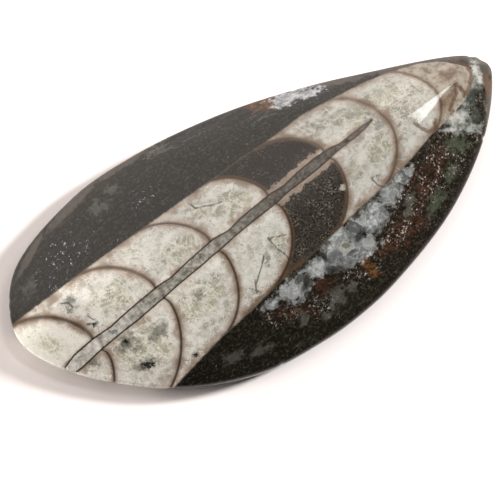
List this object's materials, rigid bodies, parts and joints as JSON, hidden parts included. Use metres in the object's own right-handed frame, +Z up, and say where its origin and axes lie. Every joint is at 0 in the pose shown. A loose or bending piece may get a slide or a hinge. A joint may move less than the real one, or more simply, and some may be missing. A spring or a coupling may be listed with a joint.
{
  "type": "orthoceras fossil",
  "caption": "Leaf-shaped polished black limestone with a flat underside and a domed crown that cuts through a pale straight chambered shell.",
  "frame": {"origin": "on the flat underside, below the middle of the stone's length and width", "axes": "+X along the stone to its narrow end, +Y across it, +Z up out of the crown"},
  "size_m": [0.072, 0.034, 0.009],
  "materials": {
    "polished_limestone": "polished black limestone with cream calcite in the shell's chambers"
  },
  "bodies": {
    "root": {"stone": "polished_limestone"}
  },
  "joints": []
}
